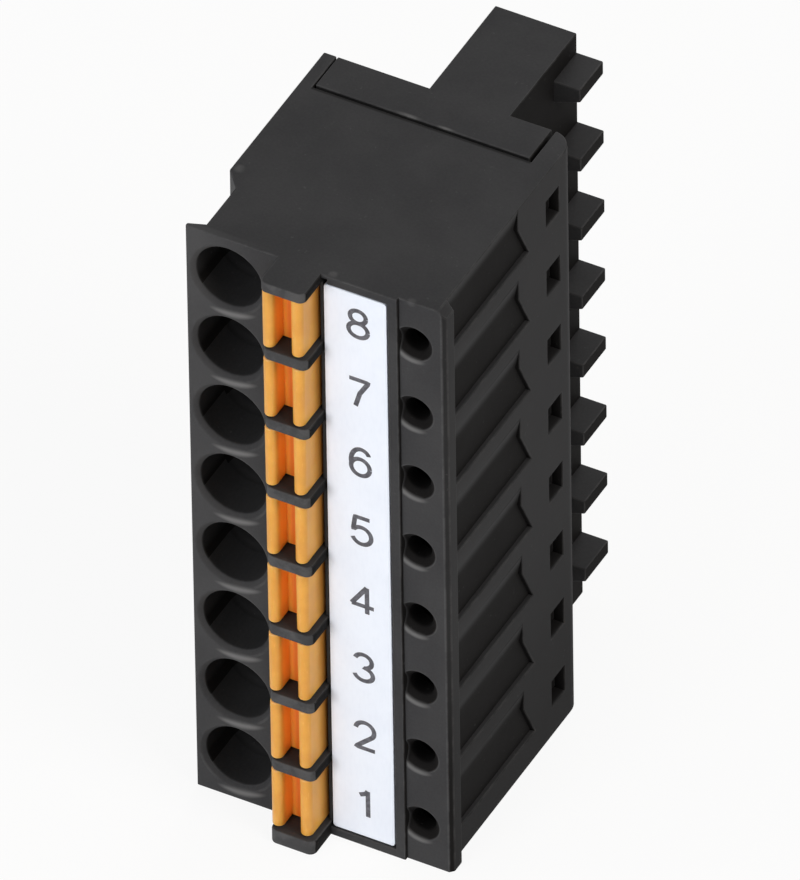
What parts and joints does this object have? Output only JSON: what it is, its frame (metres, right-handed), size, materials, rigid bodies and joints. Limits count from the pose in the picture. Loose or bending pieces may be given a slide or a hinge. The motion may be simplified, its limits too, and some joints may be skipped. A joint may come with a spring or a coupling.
{
  "type": "pluggable terminal block plug",
  "caption": "Black pluggable terminal block plug with push-in wire entries, orange slotted release buttons, a white numbered marker strip and a coded rear tongue.",
  "frame": {"origin": "middle of the footprint, on the pole 1 end face that the plug stands on", "axes": "+X to the right seen from the wire side, +Y from the wire side to the rear tongue, +Z along the row of poles, up as it stands"},
  "size_m": [0.011, 0.018, 0.0286],
  "materials": {
    "housing_plastic": "fine matt charcoal moulding",
    "carrier_plastic": "fine matt charcoal moulding",
    "button_plastic": "satin orange moulding",
    "strip_plastic": "smooth white, printed with plain grey pole numbers",
    "spring_steel": "rolled stainless strip",
    "tinned_copper": "matt tin plating"
  },
  "bodies": {
    "plug": {"housing": "housing_plastic", "contact_carrier": "carrier_plastic", "marker_strip": "strip_plastic", "clamp_spring_1": "spring_steel", "clamp_spring_2": "spring_steel", "clamp_spring_3": "spring_steel", "clamp_spring_4": "spring_steel", "clamp_spring_5": "spring_steel", "clamp_spring_6": "spring_steel", "clamp_spring_7": "spring_steel", "clamp_spring_8": "spring_steel", "contact_1": "tinned_copper", "contact_2": "tinned_copper", "contact_3": "tinned_copper", "contact_4": "tinned_copper", "contact_5": "tinned_copper", "contact_6": "tinned_copper", "contact_7": "tinned_copper", "contact_8": "tinned_copper"},
    "release_1": {"button_1": "button_plastic"},
    "release_2": {"button_2": "button_plastic"},
    "release_3": {"button_3": "button_plastic"},
    "release_4": {"button_4": "button_plastic"},
    "release_5": {"button_5": "button_plastic"},
    "release_6": {"button_6": "button_plastic"},
    "release_7": {"button_7": "button_plastic"},
    "release_8": {"button_8": "button_plastic"}
  },
  "joints": [
    {"name": "button_1_press", "type": "slide", "parent": "plug", "child": "release_1", "axis": [0, 1, 0], "range_m": [0, 0.0012], "stiffness_N_per_m": 2000, "deforming": ["clamp_spring_1"]},
    {"name": "button_2_press", "type": "slide", "parent": "plug", "child": "release_2", "axis": [0, 1, 0], "range_m": [0, 0.0012], "stiffness_N_per_m": 2000, "deforming": ["clamp_spring_2"]},
    {"name": "button_3_press", "type": "slide", "parent": "plug", "child": "release_3", "axis": [0, 1, 0], "range_m": [0, 0.0012], "stiffness_N_per_m": 2000, "deforming": ["clamp_spring_3"]},
    {"name": "button_4_press", "type": "slide", "parent": "plug", "child": "release_4", "axis": [0, 1, 0], "range_m": [0, 0.0012], "stiffness_N_per_m": 2000, "deforming": ["clamp_spring_4"]},
    {"name": "button_5_press", "type": "slide", "parent": "plug", "child": "release_5", "axis": [0, 1, 0], "range_m": [0, 0.0012], "stiffness_N_per_m": 2000, "deforming": ["clamp_spring_5"]},
    {"name": "button_6_press", "type": "slide", "parent": "plug", "child": "release_6", "axis": [0, 1, 0], "range_m": [0, 0.0012], "stiffness_N_per_m": 2000, "deforming": ["clamp_spring_6"]},
    {"name": "button_7_press", "type": "slide", "parent": "plug", "child": "release_7", "axis": [0, 1, 0], "range_m": [0, 0.0012], "stiffness_N_per_m": 2000, "deforming": ["clamp_spring_7"]},
    {"name": "button_8_press", "type": "slide", "parent": "plug", "child": "release_8", "axis": [0, 1, 0], "range_m": [0, 0.0012], "stiffness_N_per_m": 2000, "deforming": ["clamp_spring_8"]}
  ]
}
